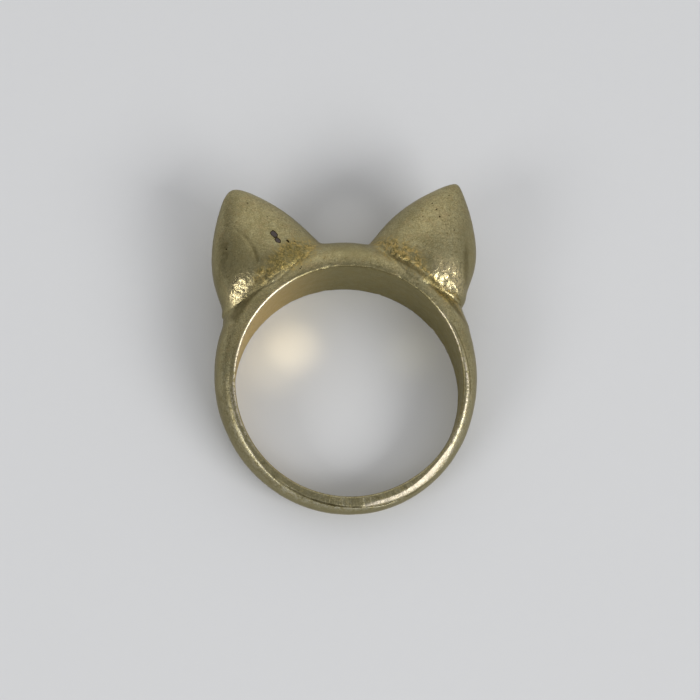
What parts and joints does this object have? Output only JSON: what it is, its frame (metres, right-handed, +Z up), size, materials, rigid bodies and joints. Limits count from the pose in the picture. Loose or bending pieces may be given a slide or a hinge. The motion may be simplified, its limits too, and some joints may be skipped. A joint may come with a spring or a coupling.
{
  "type": "cat-ear finger ring",
  "caption": "Cast brass finger ring with cat ears: a round open finger bore in a band that is widest and thickest under the fat pointed ears and narrow at the back.",
  "frame": {"origin": "centre of the bounding box on the floor plane; the ring lies on its side on its lower filed rim", "axes": "+Y from the back of the band towards the ears, +Z up from the floor, +X to the right when seen from above with the ears up; the finger bore's axis leans 7.57 degrees from +Z towards -Y"},
  "size_m": [0.0206, 0.026, 0.0071],
  "materials": {
    "ring": "tumbled as cast, olive gold tarnish, worn bright on the edges"
  },
  "bodies": {
    "root": {"ring": "ring"}
  },
  "joints": []
}
